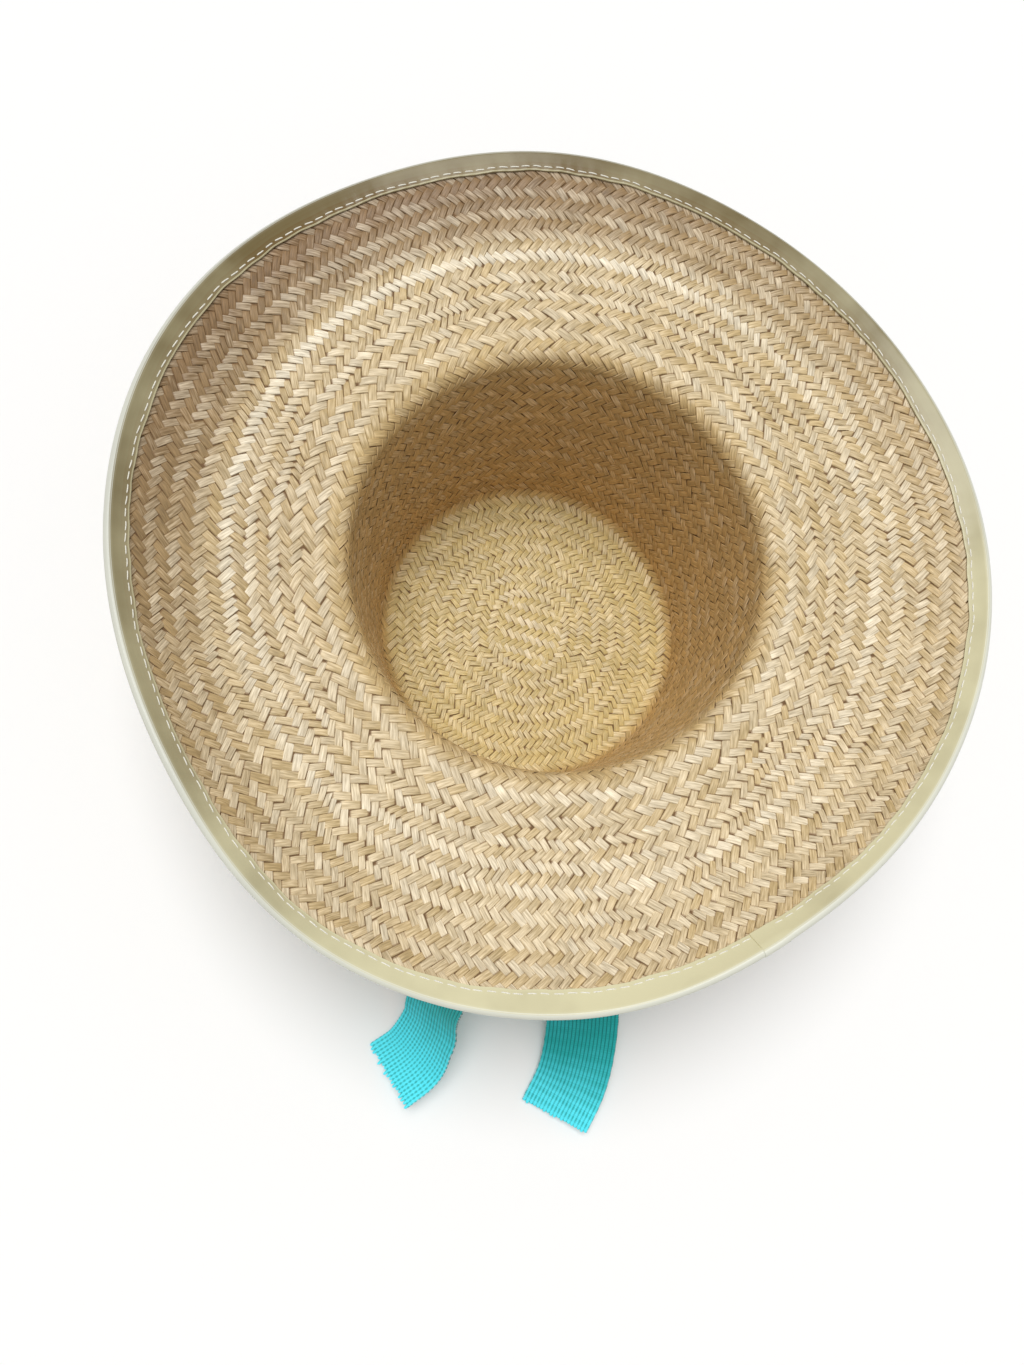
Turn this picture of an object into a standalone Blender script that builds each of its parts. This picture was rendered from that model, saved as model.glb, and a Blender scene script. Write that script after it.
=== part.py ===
"""Woven straw sun hat with a bound brim and a ribbon, resting crown down.

Metres, +Z up. The origin is the middle of the crown's flat tip, on its outer face.
The brim is at the top, open side up. The ribbon is tied at the back, towards -Y.
"""

import bmesh
import bpy
import numpy as np

# Straw crown and brim, measured on the open side of the wall
STRAW_WALL = 0.0016
TIP_RADIUS = 0.0795
TIP_CORNER = 0.007
CROWN_DEPTH = 0.111
MOUTH_RADIUS = 0.0951
BREAK_ROLL = 0.007
BRIM_SLANT = 0.095
EDGE_SLOPE_DEG = 63
CURL_POWER = 1.8

# Lean of the crown: how far the mouth sits off the tip's axis, and its highest side
MOUTH_OFF_X = -0.0051
MOUTH_OFF_Y = 0.0062
MOUTH_RISE = 0.0046
RISE_TOWARDS_DEG = 42

# Vinyl binding folded over the brim's edge
PIECE_GAP = 0.0003
TAPE_THICKNESS = 0.0009
BINDING_LAP = 0.0108

# Ribbon round the crown, its knot and its two tails
RIBBON_WIDTH = 0.036
RIBBON_THICKNESS = 0.001
BAND_BELOW_BREAK = 0.002
KNOT_TOWARDS_DEG = -92
KNOT_WIDTH = 0.026
KNOT_HEIGHT = 0.033
KNOT_THICKNESS = 0.006
KNOT_SIDE_TAPER = 0.7
KNOT_ROUNDING = 0.4
TAIL_LENGTH = 0.16

# Divisions of the faceted surfaces
ROUND_STEPS = 80
TIP_RINGS = 3
CORNER_RINGS = 3
WALL_RINGS = 3
BREAK_RINGS = 4
BRIM_RINGS = 7
SLANT_SUBSTEPS = 96
TAIL_STEPS = 28
TAIL_ROWS_ACROSS = 3
KNOT_STEPS = 8

# Shape round the hat, one row every 30 degrees from +X.
# lift: slope of the brim at its edge, share of EDGE_SLOPE_DEG
# reach: slant of the brim, share of BRIM_SLANT
# mouth: radius of the crown's mouth, share of MOUTH_RADIUS
# lap: width of the binding, share of BINDING_LAP
ROUND_COLUMNS = ("lift", "reach", "mouth", "lap")
ROUND_ROWS = (
    (0.59, 0.994, 1.006, 0.89),
    (0.25, 0.999, 1.004, 1.00),
    (0.13, 0.999, 1.001, 1.05),
    (0.21, 1.000, 0.998, 0.92),
    (0.17, 0.998, 0.998, 0.93),
    (0.49, 1.002, 1.002, 0.86),
    (0.84, 1.000, 0.998, 0.92),
    (0.92, 1.001, 0.998, 0.95),
    (0.57, 1.022, 1.006, 0.83),
    (0.60, 1.017, 1.001, 1.07),
    (1.00, 0.990, 0.991, 1.00),
    (0.86, 0.987, 0.994, 0.82),
)

# Run of each tail from the knot to its cut end.
# across: place to the right of the knot, share of TAIL_LENGTH
# out: distance away from the knot's seat, share of TAIL_LENGTH
# height: height of the middle of the ribbon, share of its height under the knot
# bank: tilt across the ribbon, right side up, in degrees
# spread: width, share of RIBBON_WIDTH
TAIL_COLUMNS = ("across", "out", "height", "bank", "spread")
LEFT_TAIL_ROWS = (
    (-0.039, 0.000, 1.000, 0, 0.32),
    (-0.062, 0.085, 0.980, 1, 0.50),
    (-0.128, 0.277, 0.905, 18, 0.90),
    (-0.195, 0.479, 0.698, 38, 1.00),
    (-0.255, 0.638, 0.440, 49, 1.00),
    (-0.270, 0.741, 0.270, 44, 1.00),
    (-0.305, 0.820, 0.152, 27, 1.00),
    (-0.377, 0.880, 0.108, 20, 1.00),
)
RIGHT_TAIL_ROWS = (
    (0.039, 0.000, 1.000, 0, 0.32),
    (0.062, 0.085, 0.978, 0, 0.50),
    (0.128, 0.268, 0.880, 6, 0.90),
    (0.174, 0.466, 0.607, 10, 1.00),
    (0.204, 0.625, 0.360, 12, 1.00),
    (0.214, 0.759, 0.200, 12, 1.00),
    (0.198, 0.885, 0.100, 10, 1.00),
    (0.148, 1.000, 0.060, 8, 1.00),
)

# Base colour, roughness and metallic value of each material
STRAW_LOOK = ((0.74, 0.55, 0.32, 1.0), 0.6, 0.0)
VINYL_LOOK = ((0.72, 0.71, 0.46, 1.0), 0.25, 0.0)
RIBBON_LOOK = ((0.02, 0.55, 0.60, 1.0), 0.7, 0.0)


def cubic(before, start, end, after, share):
    """Smooth curve through start and end, with their neighbours as guides."""
    slope = end - before
    bend = 2 * before - 5 * start + 4 * end - after
    twist = 3 * (start - end) + after - before
    return start + 0.5 * share * (slope + share * (bend + share * twist))


def round_share(column, azimuth):
    """One column of the table round the hat at each azimuth."""
    values = np.array(ROUND_ROWS)[:, ROUND_COLUMNS.index(column)]
    turn = np.mod(azimuth, 2 * np.pi) / (2 * np.pi) * len(values)
    row = np.floor(turn).astype(int)
    near = [values[(row + k) % len(values)] for k in (-1, 0, 1, 2)]
    return cubic(*near, turn - row)


def mouth_corner(azimuth):
    """Radius and level where the crown's wall and the brim would meet unrolled."""
    radius = MOUTH_RADIUS * round_share("mouth", azimuth)
    level = CROWN_DEPTH + MOUTH_RISE * np.cos(azimuth - np.radians(RISE_TOWARDS_DEG))
    return radius, level


def wall_run(azimuth):
    """Slope of the crown's wall, its whole length and what each corner takes off it."""
    radius, level = mouth_corner(azimuth)
    slope = np.arctan2(level, radius - TIP_RADIUS)
    length = np.hypot(level, radius - TIP_RADIUS)
    half_turn = np.tan(slope / 2)
    return slope, length, TIP_CORNER * half_turn, BREAK_ROLL * half_turn


def tip_at(azimuth, share):
    """Radius, height and slope at a share of the flat tip's radius."""
    low_cut = wall_run(azimuth)[2]
    radius = (TIP_RADIUS - low_cut) * share
    return radius, np.zeros_like(radius), np.zeros_like(radius)


def tip_corner_at(azimuth, share):
    """Radius, height and slope round the corner between tip and wall."""
    slope, _, low_cut, _ = wall_run(azimuth)
    turned = slope * share
    radius = TIP_RADIUS - low_cut + TIP_CORNER * np.sin(turned)
    return radius, TIP_CORNER * (1 - np.cos(turned)), turned


def wall_at(azimuth, down):
    """Radius, height and slope on the wall, down metres below the break's roll."""
    radius, level = mouth_corner(azimuth)
    slope, _, _, high_cut = wall_run(azimuth)
    back = high_cut + down
    return radius - back * np.cos(slope), level - back * np.sin(slope), slope


def wall_share_at(azimuth, share):
    """Radius, height and slope at a share of the wall's straight height."""
    _, length, low_cut, high_cut = wall_run(azimuth)
    return wall_at(azimuth, (length - low_cut - high_cut) * (1 - share))


def break_at(azimuth, share):
    """Radius, height and slope round the roll between wall and brim."""
    start_radius, start_height, slope = wall_at(azimuth, 0)
    turned = slope * (1 - share)
    radius = start_radius + BREAK_ROLL * (np.sin(slope) - np.sin(turned))
    height = start_height + BREAK_ROLL * (np.cos(turned) - np.cos(slope))
    return radius, height, turned


def brim_slant(azimuth):
    """Distance along the brim from the roll to the binding's outer fold."""
    return BRIM_SLANT * round_share("reach", azimuth)


def brim_at(azimuth, distance):
    """Radius, height and slope on the brim, distance metres out from the roll."""
    radius, level = mouth_corner(azimuth)
    high_cut = wall_run(azimuth)[3]
    lift = np.radians(EDGE_SLOPE_DEG) * round_share("lift", azimuth)
    slant = brim_slant(azimuth)
    step = distance / SLANT_SUBSTEPS
    middles = (np.arange(SLANT_SUBSTEPS) + 0.5)[:, None] * step
    slopes = lift * (middles / slant) ** CURL_POWER
    out = radius + high_cut + (np.cos(slopes) * step).sum(0)
    return out, level + (np.sin(slopes) * step).sum(0), lift * (distance / slant) ** CURL_POWER


def ring(azimuth, place, above=0.0, along=0.0):
    """Closed ring of points on the hat: above the open face and along its slope."""
    radius, height, slope = place
    radius = radius - above * np.sin(slope) + along * np.cos(slope)
    height = height + above * np.cos(slope) + along * np.sin(slope)
    level = np.clip(height / CROWN_DEPTH, 0, 1)
    return np.stack(
        [
            MOUTH_OFF_X * level + radius * np.cos(azimuth),
            MOUTH_OFF_Y * level + radius * np.sin(azimuth),
            STRAW_WALL + height,
        ],
        axis=1,
    )


def cut_quad(points, corners):
    """Two triangles, cut along the lower diagonal so that both faces of a wall are cut alike."""
    a, b, c, d = corners
    if points[a][2] + points[c][2] < points[b][2] + points[d][2]:
        return [(a, b, c), (a, c, d)]
    return [(a, b, d), (b, c, d)]


def add_piece(name, look, rings, looped=False, poles=None):
    """Closed solid skinned over rings: joined end to end, or closed by poles or flat caps."""
    count = len(rings[0])
    points = [tuple(point) for one in rings for point in one]
    faces = []
    last = len(rings) if looped else len(rings) - 1
    for row in range(last):
        here = row * count
        there = (row + 1) % len(rings) * count
        for k in range(count):
            after = (k + 1) % count
            faces += cut_quad(points, (here + k, here + after, there + after, there + k))
    if poles is not None:
        for row, pole in ((0, poles[0]), (len(rings) - 1, poles[1])):
            middle = len(points)
            points.append(tuple(pole))
            start = row * count
            faces += [(middle, start + k, start + (k + 1) % count) for k in range(count)]
    elif not looped:
        end = (len(rings) - 1) * count
        faces += [tuple(range(count)), tuple(range(end, end + count))]
    mesh = bpy.data.meshes.new(name)
    mesh.from_pydata(points, [], faces)
    body = bmesh.new()
    body.from_mesh(mesh)
    bmesh.ops.recalc_face_normals(body, faces=body.faces)
    body.to_mesh(mesh)
    body.free()
    mesh.shade_smooth()
    mesh.materials.append(look)
    piece = bpy.data.objects.new(name, mesh)
    bpy.context.scene.collection.objects.link(piece)
    return piece


def make_look(name, colour, roughness, metallic):
    """Plain material of one colour."""
    look = bpy.data.materials.new(name)
    look.use_nodes = True
    shader = look.node_tree.nodes["Principled BSDF"]
    shader.inputs["Base Color"].default_value = colour
    shader.inputs["Roughness"].default_value = roughness
    shader.inputs["Metallic"].default_value = metallic
    return look


def shares(count):
    """Evenly spaced shares, from the first step up to 1."""
    return [(k + 1) / count for k in range(count)]


def add_straw_body(azimuth):
    """Crown and brim in one: the open face out from the tip, then the outer face back."""
    hem, waist, fold = edge_distances(azimuth)
    places = [tip_at(azimuth, share) for share in shares(TIP_RINGS)]
    places += [tip_corner_at(azimuth, share) for share in shares(CORNER_RINGS)]
    places += [wall_share_at(azimuth, share) for share in shares(WALL_RINGS)]
    places += [break_at(azimuth, share) for share in shares(BREAK_RINGS)]
    places += [brim_at(azimuth, hem * share) for share in shares(BRIM_RINGS)]
    places.append(brim_at(azimuth, waist))
    open_face = [ring(azimuth, place) for place in places]
    outer_face = [ring(azimuth, place, above=-STRAW_WALL) for place in places]
    edge = brim_at(azimuth, fold)
    open_face.append(ring(azimuth, edge, along=PIECE_GAP))
    outer_face.append(ring(azimuth, edge, above=-STRAW_WALL, along=PIECE_GAP))
    poles = ((0, 0, STRAW_WALL), (0, 0, 0))
    look = make_look("straw", *STRAW_LOOK)
    return add_piece("straw_body", look, open_face + outer_face[::-1], poles=poles)


def fold_radius():
    """Outer radius of the binding's fold, round the middle of the straw's wall."""
    return STRAW_WALL / 2 + PIECE_GAP + TAPE_THICKNESS


def edge_distances(azimuth):
    """Distances out to the binding's hem, the middle of its lap and the middle of its fold."""
    slant = brim_slant(azimuth)
    hem = slant - BINDING_LAP * round_share("lap", azimuth)
    fold = slant - fold_radius()
    return hem, (hem + fold) / 2, fold


def add_edge_binding(azimuth):
    """Tape folded over the brim's edge: its section is looped round the straw."""
    hem, waist, fold = [brim_at(azimuth, distance) for distance in edge_distances(azimuth)]
    inner = fold_radius() - TAPE_THICKNESS
    half_wall = STRAW_WALL / 2

    def at(place, side, out=0.0):
        return ring(azimuth, place, above=side - half_wall, along=out)

    rings = [at(hem, fold_radius()), at(waist, fold_radius()), at(fold, fold_radius())]
    for turn in np.radians((45, 0, -45)):
        rings.append(at(fold, fold_radius() * np.sin(turn), fold_radius() * np.cos(turn)))
    rings += [at(fold, -fold_radius()), at(waist, -fold_radius()), at(hem, -fold_radius())]
    bottom = 2 * PIECE_GAP
    rings += [at(hem, -inner), at(waist, -inner), at(fold, -inner, bottom)]
    rings += [at(fold, inner, bottom), at(waist, inner), at(hem, inner)]
    return add_piece("edge_binding", make_look("vinyl", *VINYL_LOOK), rings, looped=True)


def add_ribbon_band(azimuth, look):
    """Ribbon laid round the crown, just under the roll of the break."""
    near = -STRAW_WALL - PIECE_GAP
    far = near - RIBBON_THICKNESS
    top = wall_at(azimuth, BAND_BELOW_BREAK)
    bottom = wall_at(azimuth, BAND_BELOW_BREAK + RIBBON_WIDTH)
    rings = [ring(azimuth, place, above=side) for place, side in
             ((top, near), (top, far), (bottom, far), (bottom, near))]
    return add_piece("ribbon_band", look, rings, looped=True)


def knot_seat():
    """Middle of the knot's seat on the band, with the band's upward and outward directions."""
    azimuth = np.radians([KNOT_TOWARDS_DEG])
    base = -STRAW_WALL - RIBBON_THICKNESS - 2 * PIECE_GAP
    top = ring(azimuth, wall_at(azimuth, BAND_BELOW_BREAK), above=base)[0]
    bottom = ring(azimuth, wall_at(azimuth, BAND_BELOW_BREAK + RIBBON_WIDTH), above=base)[0]
    upward = (top - bottom) / np.linalg.norm(top - bottom)
    return (top + bottom) / 2, upward, np.cross(sideways_at_knot(), upward)


def sideways_at_knot():
    """Level direction along the band at the knot."""
    azimuth = np.radians(KNOT_TOWARDS_DEG)
    return np.array([-np.sin(azimuth), np.cos(azimuth), 0])


def add_ribbon_knot(look):
    """Rounded wrap over the band: cushion sections side by side, with flat upper and lower ends."""
    seat, upward, outward = knot_seat()
    rings = []
    for across in np.linspace(-1, 1, KNOT_STEPS + 1):
        thickness = KNOT_THICKNESS * np.sqrt(1 - KNOT_SIDE_TAPER * across**2)
        line = seat + sideways_at_knot() * across * KNOT_WIDTH / 2
        loop = [line - upward * KNOT_HEIGHT / 2, line + upward * KNOT_HEIGHT / 2]
        for turn in np.linspace(1, -1, KNOT_STEPS):
            bulge = thickness * (1 - KNOT_ROUNDING * turn**2)
            loop.append(line + upward * turn * KNOT_HEIGHT / 2 + outward * bulge)
        rings.append(np.array(loop))
    return add_piece("ribbon_knot", look, rings)


def tail_stations(rows):
    """Middle, across direction, face direction and spread at each step of a tail's run."""
    values = np.array(rows)
    padded = np.vstack([2 * values[0] - values[1], values, 2 * values[-1] - values[-2]])
    turn = np.linspace(0, len(values) - 1, TAIL_STEPS + 1)
    row = np.minimum(np.floor(turn).astype(int), len(values) - 2)
    share = (turn - row)[:, None]
    near = [padded[row + k] for k in range(4)]
    run = dict(zip(TAIL_COLUMNS, cubic(*near, share).T))
    seat, upward, outward = knot_seat()
    below = KNOT_HEIGHT / 2 + PIECE_GAP + RIBBON_THICKNESS / 2
    start = seat - upward * below + outward * RIBBON_THICKNESS
    side = sideways_at_knot()
    away = np.array([side[1], -side[0], 0])
    middle = np.outer(run["across"], side) + np.outer(run["out"], away)
    middle = middle * TAIL_LENGTH + start * (1, 1, 0)
    middle[:, 2] = run["height"] * start[2]
    heading = np.gradient(middle, axis=0)
    heading /= np.linalg.norm(heading, axis=1, keepdims=True)
    level = np.stack([-heading[:, 1], heading[:, 0], np.zeros(len(turn))], axis=1)
    level /= np.linalg.norm(level, axis=1, keepdims=True)
    over = np.cross(heading, level)
    tilt = np.radians(run["bank"])[:, None]
    sideways = level * np.cos(tilt) + over * np.sin(tilt)
    face = over * np.cos(tilt) - level * np.sin(tilt)
    return middle, sideways, face, run["spread"][:, None]


def add_ribbon_tail(name, rows, look):
    """Flat ribbon swept along its run, with square edges."""
    middle, sideways, face, spread = tail_stations(rows)
    half = sideways * spread * RIBBON_WIDTH / 2
    thick = face * RIBBON_THICKNESS / 2
    across = np.linspace(-1, 1, TAIL_ROWS_ACROSS + 1)
    lines = [middle + half * share - thick for share in across]
    lines += [middle + half * share + thick for share in across[::-1]]
    rings = [np.array(loop) for loop in zip(*lines)]
    return add_piece(name, look, rings)


for old in list(bpy.data.objects):
    bpy.data.objects.remove(old)

around = np.linspace(0, 2 * np.pi, ROUND_STEPS, endpoint=False)
add_straw_body(around)
add_edge_binding(around)
ribbon = make_look("ribbon", *RIBBON_LOOK)
add_ribbon_band(around, ribbon)
add_ribbon_knot(ribbon)
add_ribbon_tail("ribbon_tail_left", LEFT_TAIL_ROWS, ribbon)
add_ribbon_tail("ribbon_tail_right", RIGHT_TAIL_ROWS, ribbon)
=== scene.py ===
"""Woven straw sun hat: plaited strands, vinyl binding, stitches and ribbon laid on its solids.

Metres, +Z up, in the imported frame: the origin is the middle of the crown's flat tip, the
brim is at the top with its open side up, and the ribbon is tied at the back, towards -Y.
"""

import bpy
import numpy as np
from bpy.props import FloatProperty, FloatVectorProperty, IntProperty, PointerProperty
from mathutils import Matrix


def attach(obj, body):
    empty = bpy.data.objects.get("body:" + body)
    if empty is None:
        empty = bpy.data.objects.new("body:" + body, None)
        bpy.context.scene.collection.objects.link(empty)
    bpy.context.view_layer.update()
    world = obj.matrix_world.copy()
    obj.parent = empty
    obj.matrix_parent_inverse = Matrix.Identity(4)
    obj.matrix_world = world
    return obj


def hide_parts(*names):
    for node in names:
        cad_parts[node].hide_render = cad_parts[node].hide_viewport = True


bl_info = {
    "name": "Woven Sun Hat",
    "version": (1, 0, 0),
    "blender": (4, 5, 0),
    "location": "3D View > Sidebar > Sun Hat",
    "description": "Plaited straw, vinyl binding, stitches and ribbon for a sun hat",
    "category": "Add Mesh",
}

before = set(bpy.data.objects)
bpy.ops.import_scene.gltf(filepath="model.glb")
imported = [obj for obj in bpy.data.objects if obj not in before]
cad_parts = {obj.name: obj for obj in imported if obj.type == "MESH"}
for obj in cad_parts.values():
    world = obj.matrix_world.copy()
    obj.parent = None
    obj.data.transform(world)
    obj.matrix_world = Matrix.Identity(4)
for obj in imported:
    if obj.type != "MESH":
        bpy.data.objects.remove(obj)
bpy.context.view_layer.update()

# Straw form, measured on the open side of the wall
STRAW_WALL = 0.0016
TIP_RADIUS = 0.0795
TIP_CORNER = 0.007
CROWN_DEPTH = 0.111
MOUTH_RADIUS = 0.0951
BREAK_ROLL = 0.007
BRIM_SLANT = 0.095
EDGE_SLOPE = np.radians(63)
CURL_POWER = 1.8
SLANT_SUBSTEPS = 64
MOUTH_OFF_X = -0.0051
MOUTH_OFF_Y = 0.0062
MOUTH_RISE = 0.0046
RISE_TOWARDS = np.radians(42)

# Binding, ribbon, knot and tails
PIECE_GAP = 0.0003
TAPE_THICKNESS = 0.0009
BINDING_LAP = 0.0108
RIBBON_WIDTH = 0.036
RIBBON_THICKNESS = 0.001
BAND_BELOW_BREAK = 0.002
KNOT_TOWARDS = np.radians(-92)
KNOT_WIDTH = 0.026
KNOT_HEIGHT = 0.033
KNOT_THICKNESS = 0.006
KNOT_SIDE_TAPER = 0.7
KNOT_ROUNDING = 0.4
KNOT_CREASE = 0.0007
TAIL_LENGTH = 0.16

# Shape round the hat every 30 degrees from +X, as shares of the sizes above
ROUND_COLUMNS = ("lift", "reach", "mouth", "lap")
ROUND_ROWS = np.array((
    (0.59, 0.994, 1.006, 0.89),
    (0.25, 0.999, 1.004, 1.00),
    (0.13, 0.999, 1.001, 1.05),
    (0.21, 1.000, 0.998, 0.92),
    (0.17, 0.998, 0.998, 0.93),
    (0.49, 1.002, 1.002, 0.86),
    (0.84, 1.000, 0.998, 0.92),
    (0.92, 1.001, 0.998, 0.95),
    (0.57, 1.022, 1.006, 0.83),
    (0.60, 1.017, 1.001, 1.07),
    (1.00, 0.990, 0.991, 1.00),
    (0.86, 0.987, 0.994, 0.82),
))

# Run of each tail: place across and out, height, bank in degrees, and spread
TAIL_COLUMNS = ("across", "out", "height", "bank", "spread")
LEFT_TAIL_ROWS = np.array((
    (-0.039, 0.000, 1.000, 0, 0.32),
    (-0.062, 0.085, 0.980, 1, 0.50),
    (-0.128, 0.277, 0.905, 18, 0.90),
    (-0.195, 0.479, 0.698, 38, 1.00),
    (-0.255, 0.638, 0.440, 49, 1.00),
    (-0.270, 0.741, 0.270, 44, 1.00),
    (-0.305, 0.820, 0.152, 27, 1.00),
    (-0.377, 0.880, 0.108, 20, 1.00),
))
RIGHT_TAIL_ROWS = np.array((
    (0.039, 0.000, 1.000, 0, 0.32),
    (0.062, 0.085, 0.978, 0, 0.50),
    (0.128, 0.268, 0.880, 6, 0.90),
    (0.174, 0.466, 0.607, 10, 1.00),
    (0.204, 0.625, 0.360, 12, 1.00),
    (0.214, 0.759, 0.200, 12, 1.00),
    (0.198, 0.885, 0.100, 10, 1.00),
    (0.148, 1.000, 0.060, 8, 1.00),
))

# The hat's profile as one track: tip, tip corner, wall, break roll and brim
WALL_SLOPE = np.arctan2(CROWN_DEPTH, MOUTH_RADIUS - TIP_RADIUS)
CORNER_CUT = TIP_CORNER * np.tan(WALL_SLOPE / 2)
ROLL_CUT = BREAK_ROLL * np.tan(WALL_SLOPE / 2)
WALL_LENGTH = np.hypot(CROWN_DEPTH, MOUTH_RADIUS - TIP_RADIUS) - CORNER_CUT - ROLL_CUT
TRACK = np.cumsum([
    0, TIP_RADIUS - CORNER_CUT, TIP_CORNER * WALL_SLOPE, WALL_LENGTH,
    BREAK_ROLL * WALL_SLOPE, BRIM_SLANT,
])
TIP_END, CORNER_END, WALL_END, ROLL_END, BRIM_END = TRACK[1:]

# Plaiting: place on the track, distance between rings there and strands round a ring
RING_ROWS = np.array((
    (0.0170, 0.0043, 30),
    (0.0275, 0.0044, 50),
    (0.0425, 0.0045, 76),
    (0.0575, 0.0045, 100),
    (TIP_END, 0.0047, 116),
    (CORNER_END, 0.0052, 120),
    (ROLL_END + 0.013, 0.0051, 120),
    (ROLL_END + 0.020, 0.0045, 150),
    (ROLL_END + 0.028, 0.0046, 182),
    (ROLL_END + 0.042, 0.0054, 208),
    (ROLL_END + 0.058, 0.0052, 236),
    (ROLL_END + 0.072, 0.0049, 246),
    (BRIM_END, 0.0045, 250),
))
GOLDEN_TURN = 0.618034
PATCH_HALF = 0.0155
PATCH_TURN = np.radians(-14)
PATCH_SQUARENESS = 0.08
PATCH_FADE = 0.05
DRIFT = 0.0006
DRIFT_SEED = 19

# One float of a strand: stations along it and points across it, in halves of its size
ALONG = np.array((-1.17, -0.84, -0.32, 0.32, 0.84, 1.17))
ALONG_LIFT = np.array((-0.7, 0.25, 0.92, 0.92, 0.25, -0.7))
ACROSS = np.array((-1.0, -0.84, 0.84, 1.0))
ACROSS_DROP = np.array((0.4, 0.0, 0.0, 0.4))
FLOAT_HALF_LENGTH = 0.0033
FLOAT_HALF_WIDTH = 0.0013
EDGE_SINK = 0.55
LIFT_SPREAD = 0.00005

# Colour of the straw: where its pinkish tint and painted shade darken the brim's edge and
# painted shade darkens one side, and its rings of painted sheen on the brim, each a place
# out from the roll, a width and a strength
ROSY_SHADE_TOWARDS = np.radians(118)
SHADE_TOWARDS = 3.05
SHADE_WIDTH = 0.55
SHEEN_RINGS = ((0.044, 0.006, 0.62), (0.028, 0.004, 0.16), (0.062, 0.004, 0.08))

# Dark sheet inside the plait, painted shade seen through the gaps between strands: ends and steps of
# its stretches along the track
CORE_ENDS = (0.0015, TIP_END, CORNER_END, WALL_END, ROLL_END, BRIM_END - 0.0025)
CORE_STEPS = (12, 8, 14, 9, 26)
CORE_UNDER_INSIDE = 0.0003
CORE_UNDER_OUTSIDE = 0.0004

# Binding: its lapped ends, puckers and hem, and the stitches
TAPE_OUTER = STRAW_WALL / 2 + PIECE_GAP + TAPE_THICKNESS
TAPE_INNER = TAPE_OUTER - TAPE_THICKNESS
SEAM_AT = np.radians(293.5)
SEAM_LENGTH = np.radians(4.5)
SEAM_RISE = 0.0004
PUCKER = 0.00016
HEM_WANDER = 0.00025
SEWN_ROUND = 2 * np.pi * 0.178
STITCH_INSET = 0.0018
THREAD_RADIUS = 0.0003
STITCH_LEAN = 0.00012

# Ribbon: relief of its cords, distance between its cross threads and its frayed steps
RIB_DEPTH = 0.0002
TAIL_RIB_DEPTH = 0.00022
WEFT = 0.0018
TAIL_STEPS = 110
FRAY_STEPS = 3
KNOT_RIBS = 12

# Camera, lamp and floor
CAMERA_PLACE = (-0.099, -0.1356, 0.539)
CAMERA_RIGHT = np.array((0.9863, 0.0, 0.1648))
CAMERA_AHEAD = np.array((0.1618, 0.1920, -0.9680))
CAMERA_LENS = 27.03
CAMERA_FILM = 36.0
LAMP_TOWARDS = np.array((-0.15, 0.24, 1.0))
LAMP_WIDTH = np.radians(36)
FLOOR_HALF = 3.0


def cubic(before, start, end, after, share):
    """Smooth curve through start and end, with their neighbours as guides."""
    slope = end - before
    bend = 2 * before - 5 * start + 4 * end - after
    twist = 3 * (start - end) + after - before
    return start + 0.5 * share * (slope + share * (bend + share * twist))


def round_share(column, azimuth):
    """One column of the table round the hat at each azimuth."""
    values = ROUND_ROWS[:, ROUND_COLUMNS.index(column)]
    turn = np.mod(azimuth, 2 * np.pi) / (2 * np.pi) * len(values)
    row = np.floor(turn).astype(int)
    near = [values[(row + k) % len(values)] for k in (-1, 0, 1, 2)]
    return cubic(*near, turn - row)


def mouth_corner(azimuth):
    """Radius and level where the crown's wall and the brim would meet unrolled."""
    radius = MOUTH_RADIUS * round_share("mouth", azimuth)
    return radius, CROWN_DEPTH + MOUTH_RISE * np.cos(azimuth - RISE_TOWARDS)


def wall_run(azimuth):
    """Slope of the crown's wall, its whole length and what each corner takes off it."""
    radius, level = mouth_corner(azimuth)
    slope = np.arctan2(level, radius - TIP_RADIUS)
    length = np.hypot(level, radius - TIP_RADIUS)
    half_turn = np.tan(slope / 2)
    return slope, length, TIP_CORNER * half_turn, BREAK_ROLL * half_turn


def tip_at(azimuth, share):
    """Radius, height and slope at a share of the flat tip's radius."""
    radius = (TIP_RADIUS - wall_run(azimuth)[2]) * share
    return radius, np.zeros_like(radius), np.zeros_like(radius)


def tip_corner_at(azimuth, share):
    """Radius, height and slope round the corner between tip and wall."""
    slope, _, low_cut, _ = wall_run(azimuth)
    turned = slope * share
    radius = TIP_RADIUS - low_cut + TIP_CORNER * np.sin(turned)
    return radius, TIP_CORNER * (1 - np.cos(turned)), turned


def wall_at(azimuth, down):
    """Radius, height and slope on the wall, down metres below the break's roll."""
    radius, level = mouth_corner(azimuth)
    slope, _, _, high_cut = wall_run(azimuth)
    back = high_cut + down
    return radius - back * np.cos(slope), level - back * np.sin(slope), slope


def wall_share_at(azimuth, share):
    """Radius, height and slope at a share of the wall's straight height."""
    _, length, low_cut, high_cut = wall_run(azimuth)
    return wall_at(azimuth, (length - low_cut - high_cut) * (1 - share))


def break_at(azimuth, share):
    """Radius, height and slope round the roll between wall and brim."""
    start_radius, start_height, slope = wall_at(azimuth, 0)
    turned = slope * (1 - share)
    radius = start_radius + BREAK_ROLL * (np.sin(slope) - np.sin(turned))
    height = start_height + BREAK_ROLL * (np.cos(turned) - np.cos(slope))
    return radius, height, turned


def brim_slant(azimuth):
    """Distance along the brim from the roll to the binding's outer fold."""
    return BRIM_SLANT * round_share("reach", azimuth)


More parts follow.
